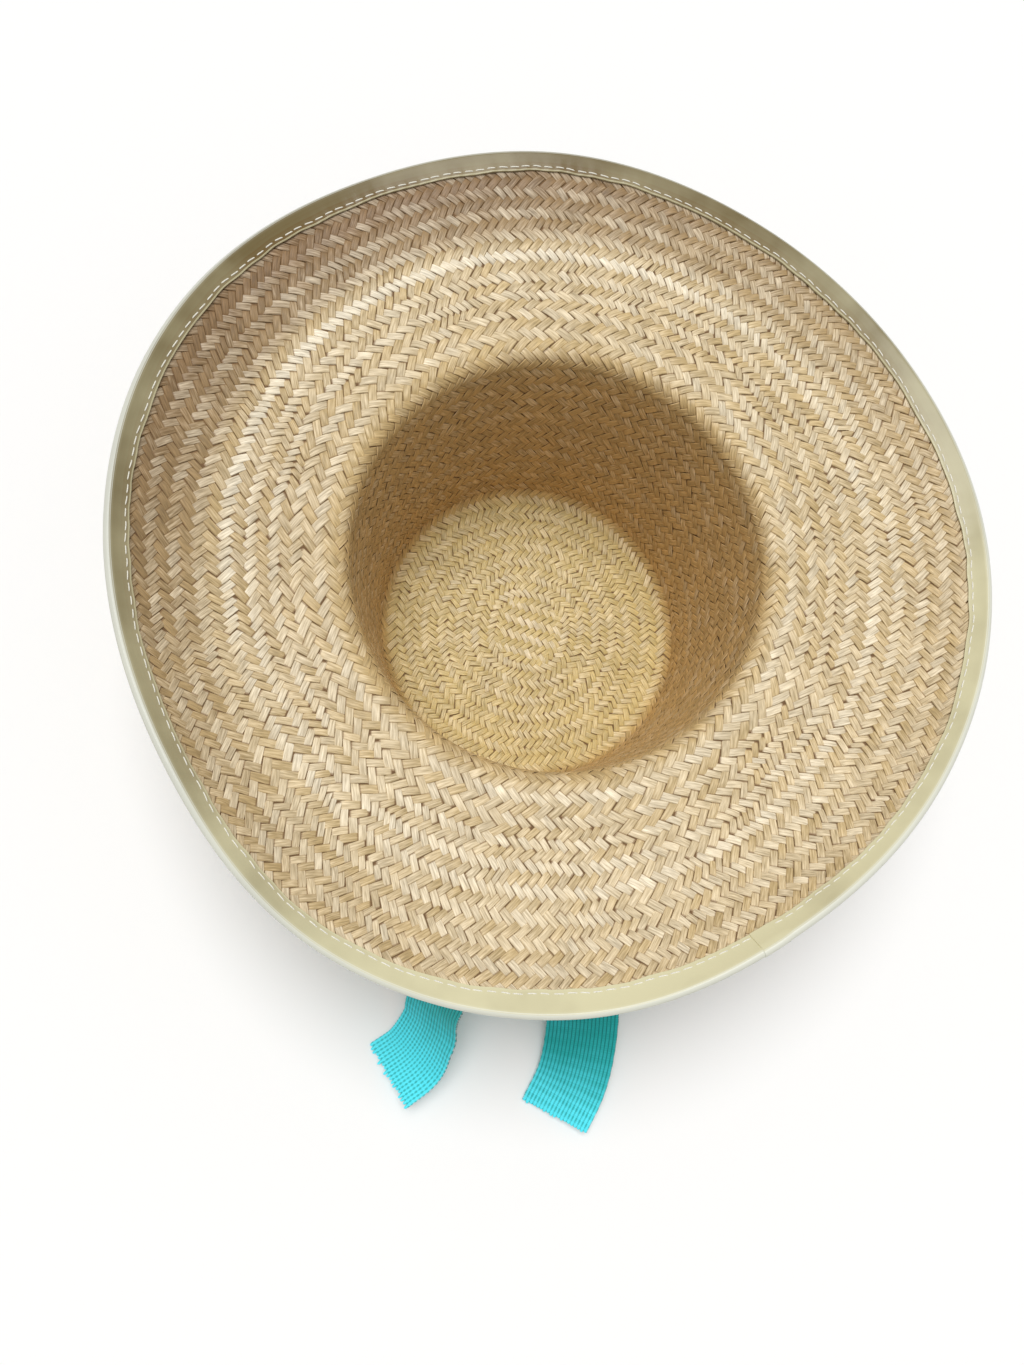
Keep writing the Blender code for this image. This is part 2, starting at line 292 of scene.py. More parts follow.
def brim_at(azimuth, distance):
    """Radius, height and slope on the brim, distance metres out from the roll."""
    radius, level = mouth_corner(azimuth)
    high_cut = wall_run(azimuth)[3]
    lift = EDGE_SLOPE * round_share("lift", azimuth)
    slant = brim_slant(azimuth)
    step = distance / SLANT_SUBSTEPS
    middles = (np.arange(SLANT_SUBSTEPS) + 0.5)[:, None] * step
    slopes = lift * np.maximum(middles / slant, 0) ** CURL_POWER
    out = radius + high_cut + (np.cos(slopes) * step).sum(0)
    edge = lift * np.maximum(distance / slant, 0) ** CURL_POWER
    return out, level + (np.sin(slopes) * step).sum(0), edge


def brim_share_at(azimuth, share):
    """Radius, height and slope at a share of the brim's slant."""
    return brim_at(azimuth, share * brim_slant(azimuth))


def off_face(azimuth, place, above=0.0, along=0.0):
    """Points on the hat: above the open face and along its slope, leaning with the crown."""
    radius, height, slope = place
    radius = radius - above * np.sin(slope) + along * np.cos(slope)
    height = height + above * np.cos(slope) + along * np.sin(slope)
    level = np.clip(height / CROWN_DEPTH, 0, 1)
    x = MOUTH_OFF_X * level + radius * np.cos(azimuth)
    y = MOUTH_OFF_Y * level + radius * np.sin(azimuth)
    return np.stack([x, y, STRAW_WALL + height], axis=-1)


def on_track(azimuth, track, above):
    """Points at a place on the whole profile's track, which picks tip, corner, wall, roll or brim."""
    azimuth, track, above = [np.ravel(a) for a in np.broadcast_arrays(azimuth, track, above)]
    spans = (tip_at, tip_corner_at, wall_share_at, break_at, brim_share_at)
    span = np.clip(np.searchsorted(TRACK, track, side="right") - 1, 0, len(spans) - 1)
    place = np.zeros((3, len(track)))
    for k, shape in enumerate(spans):
        here = span == k
        if here.any():
            share = (track[here] - TRACK[k]) / (TRACK[k + 1] - TRACK[k])
            place[:, here] = shape(azimuth[here], share)
    return off_face(azimuth, place, above)


def new_piece(name, points, faces, look, stands_for=(), smooth=180, maps=()):
    """Mesh object from whole arrays of points and four-cornered faces, riding on the hat.

    maps holds (name, kind, values) rows: kind UV has one pair per face corner, and kind
    POINT has four numbers per point.
    """
    mesh = bpy.data.meshes.new(name)
    faces = np.ascontiguousarray(faces, dtype=np.int32)
    mesh.vertices.add(len(points))
    mesh.vertices.foreach_set("co", np.asarray(points, np.float32).ravel())
    mesh.loops.add(faces.size)
    mesh.loops.foreach_set("vertex_index", faces.ravel())
    mesh.polygons.add(len(faces))
    mesh.polygons.foreach_set("loop_start", np.arange(0, faces.size, 4, dtype=np.int32))
    for map_name, kind, values in maps:
        if kind == "UV":
            layer = mesh.uv_layers.new(name=map_name)
            layer.uv.foreach_set("vector", np.asarray(values, np.float32).ravel())
        else:
            layer = mesh.attributes.new(map_name, "FLOAT_COLOR", "POINT")
            layer.data.foreach_set("color", np.asarray(values, np.float32).ravel())
    mesh.update(calc_edges=True)
    if mesh.validate():
        raise RuntimeError(f"{name}: the mesh had faulty faces")
    mesh.shade_smooth()
    if smooth < 180:
        mesh.set_sharp_from_angle(angle=np.radians(smooth))
    mesh.materials.append(look)
    piece = bpy.data.objects.new(name, mesh)
    bpy.context.scene.collection.objects.link(piece)
    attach(piece, "root")
    if stands_for:
        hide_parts(*stands_for)
    return piece


def grid_faces(rows, columns, loop_rows=False, loop_columns=False):
    """Faces of a grid of points, row after row, joined round where asked."""
    last_row = rows if loop_rows else rows - 1
    last_column = columns if loop_columns else columns - 1
    r, c = np.meshgrid(np.arange(last_row), np.arange(last_column), indexing="ij")
    down, right = (r + 1) % rows, (c + 1) % columns
    corners = [r * columns + c, r * columns + right, down * columns + right, down * columns + c]
    return np.stack(corners, -1).reshape(-1, 4)


def pair_map(name, first, second, faces):
    """UV map from two numbers of each point, repeated at each face corner."""
    pairs = np.stack(np.broadcast_arrays(first, second), -1).reshape(-1, 2)
    return name, "UV", pairs[np.asarray(faces).ravel()]


def point_map(name, shape, *channels):
    """Attribute from up to three numbers of each point, with 1 for the others."""
    filled = np.ones(shape + (4,))
    for k, channel in enumerate(channels):
        filled[..., k] = channel
    return name, "POINT", filled.reshape(-1, 4)


class Value:
    """A number in a shader: operators on it add Math nodes."""

    def __init__(self, look, socket):
        self.look = look
        self.socket = socket

    def math(self, operation, *values):
        made = self.look.node("ShaderNodeMath", {"operation": operation}, dict(enumerate(values)))
        return Value(self.look, made.outputs[0])

    def __add__(self, other):
        return self.math("ADD", self, other)

    def __sub__(self, other):
        return self.math("SUBTRACT", self, other)

    def __rsub__(self, other):
        return self.math("SUBTRACT", other, self)

    def __mul__(self, other):
        return self.math("MULTIPLY", self, other)

    def __abs__(self):
        return self.math("ABSOLUTE", self)

    __radd__ = __add__
    __rmul__ = __mul__

    def larger(self, other):
        """The larger of two numbers."""
        return self.math("MAXIMUM", self, other)

    def wave(self):
        """Sine of the number."""
        return self.math("SINE", self)

    def part(self):
        """What is left of the number past its whole part."""
        return self.math("FRACT", self)

    def ramp(self, start, end):
        """0 up to start, 1 from end on, and smooth between them."""
        settings = {"interpolation_type": "SMOOTHSTEP"}
        made = self.look.node("ShaderNodeMapRange", settings, {0: self, 1: start, 2: end})
        return Value(self.look, made.outputs[0])


class Nodes:
    """A short way to add nodes to a tree."""

    def __init__(self, tree):
        self.tree = tree

    def node(self, kind, settings=(), inputs=()):
        """New node of a type: its settings first, then the values or links of its sockets."""
        made = self.tree.nodes.new(kind)
        for key, value in dict(settings).items():
            setattr(made, key, value)
        for key, value in dict(inputs).items():
            self.feed(made.inputs[key], value)
        return made

    def feed(self, socket, value):
        """Links a shader number or sets a plain one."""
        if isinstance(value, Value):
            self.tree.links.new(value.socket, socket)
        elif hasattr(value, "__len__") and len(value) == 3 and socket.type == "RGBA":
            socket.default_value = (*value, 1)
        else:
            socket.default_value = value


class Look(Nodes):
    """A material with one Principled shader."""

    def __init__(self, name, **constants):
        self.material = bpy.data.materials.new(name)
        self.material.use_nodes = True
        super().__init__(self.material.node_tree)
        self.shader = self.tree.nodes["Principled BSDF"]
        for socket, value in constants.items():
            self.shader.inputs[socket.replace("_", " ")].default_value = value

    def set(self, **sockets):
        """Feeds the shader's own sockets."""
        for socket, value in sockets.items():
            self.feed(self.shader.inputs[socket.replace("_", " ")], value)

    def channels(self, name):
        """The three numbers of a point attribute."""
        read = self.node("ShaderNodeAttribute", {"attribute_name": name})
        split = self.node("ShaderNodeSeparateColor", inputs={0: Value(self, read.outputs["Color"])})
        return [Value(self, split.outputs[k]) for k in range(3)]

    def map_pair(self, name):
        """The two numbers of a UV map."""
        read = self.node("ShaderNodeUVMap", {"uv_map": name})
        return self.split(Value(self, read.outputs[0]))[:2]

    def place(self):
        """Object coordinates of the point."""
        return Value(self, self.node("ShaderNodeTexCoord").outputs["Object"])

    def split(self, vector):
        """The three numbers of a vector."""
        made = self.node("ShaderNodeSeparateXYZ", inputs={0: vector})
        return [Value(self, made.outputs[k]) for k in range(3)]

    def join(self, x, y, z=0.0):
        """A vector from three numbers."""
        made = self.node("ShaderNodeCombineXYZ", inputs={0: x, 1: y, 2: z})
        return Value(self, made.outputs[0])

    def noise(self, vector, scale=1.0, detail=2.0, roughness=0.5):
        """Soft noise from 0 to 1."""
        inputs = {"Vector": vector, "Scale": scale, "Detail": detail, "Roughness": roughness}
        return Value(self, self.node("ShaderNodeTexNoise", inputs=inputs).outputs[0])

    def mix(self, first, second, share):
        """Colour between two colours."""
        settings = {"data_type": "RGBA", "clamp_factor": True}
        made = self.node("ShaderNodeMix", settings, {0: share, 6: first, 7: second})
        return Value(self, made.outputs[2])

    def shade(self, colour, factor):
        """Colour times a number."""
        grey = self.join(factor, factor, factor)
        made = self.node("ShaderNodeVectorMath", {"operation": "MULTIPLY"}, {0: colour, 1: grey})
        return Value(self, made.outputs[0])

    def bump(self, height, distance, strength=1.0):
        """Relief from a height of 0 to 1."""
        inputs = {"Height": height, "Distance": distance, "Strength": strength}
        made = self.node("ShaderNodeBump", inputs=inputs)
        self.tree.links.new(made.outputs[0], self.shader.inputs["Normal"])


def colour(name, default, description):
    """Colour setting."""
    return FloatVectorProperty(
        name=name, default=default, size=3, subtype="COLOR", min=0, max=1, description=description)


class StrawSettings(bpy.types.PropertyGroup):
    rise: FloatProperty(
        name="Strand rise", default=0.00036, min=0, max=0.002, unit="LENGTH",
        description="Height from the straw's face to the top of a strand")
    thickness: FloatProperty(
        name="Strand thickness", default=0.00035, min=0.0001, max=0.001, unit="LENGTH",
        description="Thickness of one strand")
    cover: FloatProperty(
        name="Strand cover", default=1.015, min=0.5, max=1.1, subtype="FACTOR",
        description="Share of its place in the weave that a strand fills")
    seed: IntProperty(
        name="Seed", default=7, min=0, description="Start of the strands' variations")
    tip: colour("Tip straw", (0.62, 0.48, 0.20), "Colour of the crown's tip")
    # Wall straw: a more orange copy of the straw, painted warm bounce light and shade inside the crown.
    wall: colour("Wall straw", (0.565, 0.365, 0.148), "Colour of the crown's wall")
    brim: colour("Brim straw", (0.585, 0.43, 0.208), "Colour of the brim")
    # The brim's own pinkish tint near its edge, and painted shade there and along one side.
    rosy_and_shade: colour("Rosy straw", (0.265, 0.163, 0.08), "Colour of the brim near its edge")
    # Pale straw: mostly the colour of painted sheen and highlights, partly the strands' own lighter
    # tone and the brim's lighter straw.
    pale: colour("Pale straw", (0.85, 0.755, 0.58), "Colour of bleached strands")
    # Painted shade: dark colour between and under the strands, and of the dark sheet inside the plait.
    gap: colour("Gap", (0.25, 0.14, 0.062), "Colour between and under the strands")


class TrimSettings(bpy.types.PropertyGroup):
    vinyl: colour("Vinyl", (0.185, 0.142, 0.062), "Colour of the brim's binding")
    thread: colour("Thread", (0.90, 0.87, 0.76), "Colour of the stitches")
    stitch: FloatProperty(
        name="Stitch length", default=0.0051, min=0.002, max=0.02, unit="LENGTH",
        description="Distance from one stitch to the next")
    # Light vinyl colour: its soft clouds, the side where it is lighter, and a pale painted highlight
    # along each hem's edge.
    lightened: colour("Worn vinyl", (0.70, 0.66, 0.43), "Colour of the binding where it is bleached")
    # Ribbon colour, darkened as a painted shadow of the brim over the band, knot and tails.
    ribbon: colour("Ribbon", (0.009, 0.40, 0.39), "Colour of the ribbon")
    # Painted highlight on the raised threads, and painted light on the tails' cut ends.
    ribbon_highlight: colour("Faded ribbon", (0.10, 0.86, 1.0), "Colour of the ribbon's raised threads and ends")
    ribs: IntProperty(
        name="Ribs", default=19, min=3, max=60, description="Raised cords across the ribbon")


class StudioSettings(bpy.types.PropertyGroup):
    floor: colour("Floor", (0.94, 0.94, 0.94), "Colour of the floor")
    sky: FloatProperty(
        name="Sky", default=0.36, min=0, description="Strength of the even light all round")
    backdrop: FloatProperty(
        name="Backdrop", default=0.97, min=0, description="Brightness of the backdrop behind the floor")
    lamp: FloatProperty(
        name="Lamp", default=2.35, min=0, description="Strength of the soft lamp above")


def ring_plan():
    """Centre of each ring on the track, with the spacing added up along it, and its strands."""
    track, spacing, strands = RING_ROWS.T
    fine = np.linspace(track[0], track[-1], 4000)
    passed = np.concatenate([[0], np.cumsum(np.diff(fine) / np.interp(fine[1:], track, spacing))])
    centres = np.interp(np.arange(int(passed[-1]) + 1), passed, fine)
    return centres, np.rint(np.interp(centres, track, strands)).astype(int)


def ring_phases(counts, chance):
    """Azimuth grid, and the strand number at each azimuth for every ring.

    The first ring's numbers grow evenly round the hat. Each strand added further out is a
    smooth step of one in the numbers, whose width grows from ring to ring.
    """
    grid = np.linspace(-0.6, 2 * np.pi + 0.6, 5200)
    phases = [counts[0] * grid / (2 * np.pi)]
    added = np.zeros((0, 2))
    for k in range(1, len(counts)):
        extra = counts[k] - counts[k - 1]
        if extra > 0:
            places = (len(added) + np.arange(extra)) * GOLDEN_TURN + 0.05 * chance.random(extra)
            added = np.vstack([added, np.stack([np.mod(places, 1) * 2 * np.pi, np.full(extra, k)], 1)])
        phase = phases[0].copy()
        if len(added):
            width = (4 + 4.5 * (k - added[:, 1])) * 2 * np.pi / counts[k]
            width = np.minimum(width, 1.2)[:, None]
            for turn in (-1, 0, 1):
                share = (grid - added[:, :1] - turn * 2 * np.pi) / width + 0.5
                share = np.clip(share, 0, 1)
                phase = phase + (share * share * (3 - 2 * share)).sum(0)
        phases.append(phase)
    return grid, phases


def swell(azimuth, track, chance, longest, shortest):
    """Soft random swell from -1 to 1: cosines of many lengths and directions on the hat laid flat."""
    x, y = track * np.cos(azimuth), track * np.sin(azimuth)
    total = np.zeros_like(track)
    lengths = np.geomspace(longest, shortest, 9)
    for length in lengths:
        heading, start = chance.random(2) * 2 * np.pi
        total = total + np.cos((x * np.cos(heading) + y * np.sin(heading)) * 2 * np.pi / length + start)
    return total / 4


def float_points(slant, chance, count, cover):
    """Shape of each float in the weave's own units, before it is laid on the hat.

    Returns the steps round and out from its centre for count floats: a float
    is two cells long along one diagonal and one cell wide along the other.
    """
    length = 1 + 0.05 * chance.normal(size=(count, 1, 1))
    width = cover - 0.05 * chance.random((count, 1, 1))
    turn = 0.035 * chance.normal(size=(count, 1, 1))
    t = ALONG[None, :, None] * length
    w = ACROSS[None, None, :] * width
    around = 0.5 * t - slant * 0.25 * w - turn * slant * 0.5 * t
    out = slant * 0.5 * t + 0.25 * w + turn * 0.5 * t
    around = around + 0.03 * chance.normal(size=(count, 1, 1))
    out = out + 0.02 * chance.normal(size=(count, 1, 1))
    return around, out


def float_faces(count, side):
    """Faces of count floats of 24 points: four sides along each and two end caps."""
    steps, around = len(ALONG), len(ACROSS)
    one = grid_faces(steps, around, loop_columns=True)
    caps = np.array([[3, 2, 1, 0], [20, 21, 22, 23]])
    one = np.vstack([one, caps])
    if side < 0:
        one = one[:, ::-1]
    return (one[None] + (np.arange(count) * steps * around)[:, None, None]).reshape(-1, 4)


def lay_strands(name, azimuth, track, slant, side, settings, look, chance):
    """Piece of floats laid on one face of the hat: azimuth and track of each of their points."""
    count = len(azimuth)
    shape = (count, len(ALONG), len(ACROSS))
    lift = settings.rise * ALONG_LIFT[None, :, None] - settings.thickness * ACROSS_DROP[None, None, :]
    under = (np.arange(len(ACROSS)) % 3 == 0)[None, None, :]
    lift = lift - under * settings.thickness * EDGE_SINK
    lift = lift + LIFT_SPREAD * chance.normal(size=(count, 1, 1))
    above = lift
    if side < 0:
        above = -STRAW_WALL + 1.25 * settings.rise - np.minimum(lift, 1.2 * settings.rise)
    above = np.broadcast_to(above, shape)
    points = on_track(azimuth, track, above)
    faces = float_faces(count, side)
    # tone: each strand's random tone, its pinkish share with painted shade, and its pale share, mostly
    # painted sheen and highlight; reach: place along and across each float, which paints shade on its
    # ends and sides, and the zone of tip, wall and brim.
    tone = point_map("tone", shape, chance.random((count, 1, 1)),
                     *straw_hue(azimuth, track, slant[:, None, None]))
    zone = np.interp(track, (TIP_END, CORNER_END, WALL_END - 0.01, ROLL_END), (0, 0.5, 0.5, 1))
    reach = point_map("reach", shape, np.abs(ALONG)[None, :, None], ACROSS[None, None, :], zone)
    run = ALONG[None, :, None] * FLOAT_HALF_LENGTH + chance.random((count, 1, 1)) * 9
    over = ACROSS[None, None, :] * FLOAT_HALF_WIDTH + chance.random((count, 1, 1)) * 9
    if track.max() < TIP_END:
        radius = track / TIP_END * 0.49
        flat = 0.5 + radius * np.cos(azimuth), 0.5 + radius * np.sin(azimuth)
    else:
        low, high = track.min(), track.max()
        flat = (0.01 + 0.98 * (azimuth + 0.1) / (2 * np.pi + 0.2),
                0.01 + 0.98 * (track - low) / (high - low))
    maps = (pair_map("OFBake", *flat, faces), pair_map("Strand", run, over, faces), tone, reach)
    return new_piece(name, points, faces, look, ("straw_body",), 40, maps)


def straw_hue(azimuth, track, slant):
    """Pinkish tint with painted shade, and paleness with painted sheen, of the straw at each point.

    The pinkish share is the straw's own tint towards part of the brim's edge, with painted
    shade there and a little painted shade along one side. The pale share is the brim's
    lighter straw, a little more towards -Y, and painted sheen and highlight in soft rings,
    at the crown's mouth and in the middle of the tip: each is a bell round its place on the
    track, and floats that slant forwards take more of it.
    """
    out = track - ROLL_END
    # The straw's own pinkish tint near the brim's edge, with painted shade towards one part of it.
    towards = 0.5 + 0.5 * np.cos(azimuth - ROSY_SHADE_TOWARDS)
    start = out - 0.048 - 0.01 * (1 - towards)
    rosy_and_shade = 0.55 * np.clip(start / 0.008, 0, 1) + 0.45 * np.clip(start / 0.03, 0, 1)
    brim = np.clip(out / 0.006, 0, 1)
    # Painted shade darkening the brim along one side.
    shaded = np.exp(-(((azimuth - SHADE_TOWARDS) / SHADE_WIDTH) ** 2))
    rosy_and_shade = rosy_and_shade * (0.07 + 0.93 * towards**1.8) + 0.15 * brim * shaded
    # Pale share: the brim's lighter straw, a little more towards -Y.
    pale = brim * (0.35 * (1 - rosy_and_shade) + 0.1 * np.clip(-np.sin(azimuth), 0, 1))
    # Painted sheen in soft rings on the brim, more on floats that slant forwards.
    for place, width, strength in SHEEN_RINGS:
        middle = place + 0.004 * np.cos(azimuth - 0.8)
        bell = np.exp(-(((out - middle) / width) ** 2))
        pale = pale + strength * bell * (0.62 + 0.38 * np.cos(azimuth - 2.2)) * (0.72 + 0.45 * slant)
    # Painted highlight on the crown's mouth and in the middle of the tip, and painted sheen on floats
    # that slant forwards.
    mouth = np.exp(-(((out - 0.002) / 0.005) ** 2)) * (0.55 + 0.45 * np.cos(azimuth + 0.5))
    centre = 0.24 * np.exp(-((track / 0.06) ** 4)) + 0.2 * slant * np.exp(-((track / 0.021) ** 4))
    pale = pale + centre + 0.34 * mouth + (0.09 + 0.09 * brim) * slant
    return rosy_and_shade, pale


def woven_floats(side, chance, cover):
    """Azimuth and track of every float's points, ring by ring, and each float's slant."""
    centres, counts = ring_plan()
    grid, phases = ring_phases(counts, chance)
    numbers = np.arange(len(centres))
    rows = []
    for ring, (count, phase) in enumerate(zip(counts, phases)):
        odd = (ring + (side < 0)) % 2
        slant = 1 if odd else -1
        start = np.interp(0, grid, phase)
        middle = np.floor(start) + np.arange(count) + (0.75 if odd else 0.25)
        around, out = float_points(slant, chance, count, cover)
        azimuth = np.interp(middle[:, None, None] + around, phase, grid)
        track = np.interp(ring + out, numbers, centres)
        beyond = np.maximum(ring + out - numbers[-1], 0) + np.minimum(ring + out, 0)
        track = track + beyond * (centres[1] - centres[0])
        rows.append((azimuth, track, np.full(count, slant)))
    azimuth, track, slants = (np.concatenate(column) for column in zip(*rows))
    drift = np.random.default_rng(DRIFT_SEED)
    aside = DRIFT * swell(azimuth, track, drift, 0.2, 0.03)
    inwards = DRIFT * swell(azimuth, track, drift, 0.2, 0.04)
    azimuth, track = azimuth + aside / np.clip(track, 0.02, 0.1), track + inwards
    square = 1 + PATCH_SQUARENESS * np.clip(1 - track / PATCH_FADE, 0, 1) * np.cos(
        4 * (azimuth - PATCH_TURN - np.pi / 4))
    return azimuth, track * square, slants


def patch_floats(side, chance, cover):
    """Azimuth, track and slant of the floats of the straight patch in the middle of the tip."""
    row_step, column_step = 0.0043, 0.0040
    rows, columns = np.meshgrid(np.arange(-4, 5), np.arange(-5, 6), indexing="ij")
    rows, columns = rows.ravel(), columns.ravel()
    halves = []
    for odd in (0, 1):
        here = (rows + (side < 0)) % 2 == odd
        x = (columns[here] + (0.75 if odd else 0.25)) * column_step
        y = rows[here] * row_step
        inside = np.abs(x / PATCH_HALF) ** 4 + np.abs(y / PATCH_HALF) ** 4 < 1
        x, y = x[inside], y[inside]
        slant = 1 if odd else -1
        around, out = float_points(slant, chance, len(x), cover)
        across = x[:, None, None] - around * column_step
        up = y[:, None, None] + out * row_step
        azimuth = np.arctan2(up, across) + PATCH_TURN
        halves.append((azimuth, np.hypot(across, up), np.full(len(x), slant)))
    return [np.concatenate(column) for column in zip(*halves)]


def straw_look(settings):
    """Straw: each strand its own tone, with fine fibres along it, painted shade at its ends and
    sides, and painted sheen and highlight in its pale share.
    """
    look = Look("woven_straw", Roughness=0.45, Specular_IOR_Level=0.36)
    tone, rosy_and_shade, pale = look.channels("tone")
    end, side, zone = look.channels("reach")
    along, across = look.map_pair("Strand")
    fibres = look.noise(look.join(along * 260, across * 4200), 1.0, 3.0, 0.65)
    streaks = look.noise(look.join(along * 170, across * 1900), 1.0, 1.0)
    # The wall's colour is the more orange copy, painted warm bounce light and shade inside the crown.
    crown = look.mix(tuple(settings.tip), tuple(settings.wall), zone * 2)
    plain = look.mix(crown, tuple(settings.brim), zone * 2 - 1)
    body = look.mix(plain, tuple(settings.rosy_and_shade), rosy_and_shade)
    # Pale share: painted sheen and highlight, with each strand's random tone and streaks.
    sheen_and_tone = (pale + (tone - 0.5) * 0.42 + (streaks - 0.5) * 0.8) * 0.8
    paled = look.mix(body, tuple(settings.pale), sheen_and_tone)
    grain = (fibres - 0.5) * 0.8 + (streaks - 0.5) * 0.95 + 0.98 + ((tone * 7.3).part() - 0.5) * 0.2
    shaded = look.shade(paled, grain)
    # Painted shade: the ends where strands dive under their neighbours, and their long sides, turn to
    # the dark colour of the gaps, more on the wall.
    walled = 1 - abs(zone * 2 - 1)
    under = end.ramp(0.93, 1.08) * (walled * 0.2 + 0.7)
    rim = abs(side).ramp(0.93, 1.0) * (walled * 0.2 + 0.5)
    look.set(Base_Color=look.mix(shaded, tuple(settings.gap), under.larger(rim)))
    look.set(Roughness=0.54 - streaks * 0.22)
    camber = 1 - side * side
    look.bump(fibres * 0.6 + camber * 0.5, 0.00016, 0.8)
    return look.material


class HAT_OT_straw(bpy.types.Operator):
    """Plaits the straw: floats of flat strands on both faces, over a dark inner sheet of painted shade
    """

    bl_idname = "hat.straw"
    bl_label = "Straw Plait"

    def execute(self, context):
        settings = context.scene.hat_straw
        look = straw_look(settings)
        for side, word in ((1, "inside"), (-1, "outside")):
            chance = np.random.default_rng(settings.seed + (side < 0))
            azimuth, track, slant = woven_floats(side, chance, settings.cover)
            middle = track.mean((1, 2))
            track = np.clip(track, 0.001, BRIM_END - 0.002)
            tip, wall = middle < TIP_END, middle < WALL_END + 0.006
            near = middle < BRIM_END - 0.004
            for name, here in (
                ("tip", tip), ("wall", wall & ~tip), ("brim", near & ~wall),
            ):
                lay_strands(f"straw_{name}_{word}", azimuth[here], track[here], slant[here],
                            side, settings, look, chance)
            middle = patch_floats(side, chance, settings.cover)
            lay_strands(f"straw_middle_{word}", *middle, side, settings, look, chance)
        self.add_shade_core(settings)
        return {"FINISHED"}

    def add_shade_core(self, settings):
        """Thin dark sheet inside the plait, painted shade seen through the gaps between strands: the
        profile's track turned round the hat, out and back.
        """
        look = Look("straw_shade_core", Roughness=0.9)
        # Mottled dark colour, painted shade.
        place = look.noise(look.place(), 900.0, 2.0)
        dark = tuple(settings.gap)
        look.set(Base_Color=look.mix(dark, tuple(0.5 * part for part in dark), place))
        azimuth = np.linspace(0, 2 * np.pi, 160, endpoint=False)
        spans = enumerate(zip(CORE_ENDS, CORE_ENDS[1:], CORE_STEPS))
        track = np.concatenate([np.linspace(*span)[min(k, 1):] for k, span in spans])
        track = np.concatenate([track, track[::-1]])
        half = len(track) // 2
        above = np.repeat([-CORE_UNDER_INSIDE, -STRAW_WALL + CORE_UNDER_OUTSIDE], half)
        points = on_track(azimuth[None, :], track[:, None], above[:, None])
        faces = grid_faces(len(track), len(azimuth), loop_rows=True, loop_columns=True)
        new_piece("straw_shade_core", points, faces[:, ::-1], look.material, ("straw_body",))


def binding_places(azimuth):
    """Distances out to the binding's hem and to the middle of its fold."""
    slant = brim_slant(azimuth)
    wander = np.sin(23 * azimuth + 2 * np.sin(5 * azimuth))
    wander = wander + 0.7 * np.sin(57 * azimuth + 3 * np.sin(8 * azimuth))
    return slant - BINDING_LAP * round_share("lap", azimuth) + HEM_WANDER * wander, slant - TAPE_OUTER


def tape_pucker(azimuth, reach, stitch):
    """Height that the tape swells between stitches.

    It is a wave round the brim that dies out away from the hem.
    """
    turns = np.rint(SEWN_ROUND / stitch)
    wander = 0.6 * np.sin(azimuth * 7 + 1) + 0.5 * np.sin(azimuth * 17 + 2)
    fine = 0.5 + 0.5 * np.cos(azimuth * turns)
    broad = 0.5 + 0.5 * np.sin(azimuth * 61 + wander * 2)
    return PUCKER * (fine * np.exp(-reach / 0.0022) + 0.8 * broad * np.exp(-reach / 0.005))


def binding_look(settings):
    """Glossy vinyl in soft clouds, lighter towards one side, brown by the hem, with a grey painted
    highlight on the fold and a pale painted highlight along each hem's edge.

    The map runs across the tape from 0 at one hem over the fold, from 1 to 2, to 3 at the other.
    """
    look = Look("vinyl_tape", Roughness=0.25, Coat_Weight=0.06, Coat_Roughness=0.12,
                Specular_IOR_Level=0.22)
    _, across = look.map_pair("Tape")
    clouds = look.noise(look.place(), 28.0, 3.0)
    base = tuple(settings.vinyl)
    brown = (0.92 * base[0], 0.76 * base[1], 0.62 * base[2])
    light = tuple(settings.lightened)
    skin = look.mix(brown, base, across.ramp(0.1, 0.7))
    x, y, _ = look.split(look.place())
    # Lighter towards -Y and +X.
    towards_back_right = x * 0.4 - y * 0.9
    clouded = look.mix(skin, light, (clouds - 0.5) * 0.9 + towards_back_right.ramp(-0.2, 0.19) * 0.9 + 0.07)
    # Painted highlight in grey on the fold.
    rim = across.ramp(1.04, 1.25) * (1 - across.ramp(1.6, 1.85))
    lightened = look.mix(clouded, (0.74, 0.76, 0.70), rim * 0.75)
    # Pale painted highlight along each hem's edge.
    lip_highlight = 1 - across.ramp(0.05, 0.09) + across.ramp(2.91, 2.95)
    look.set(Base_Color=look.mix(lightened, light, lip_highlight * 0.6))
    look.set(Roughness=0.2 + clouds * 0.2)
    look.bump(look.noise(look.place(), 700.0, 2.0), 0.00005, 0.25)
    return look.material


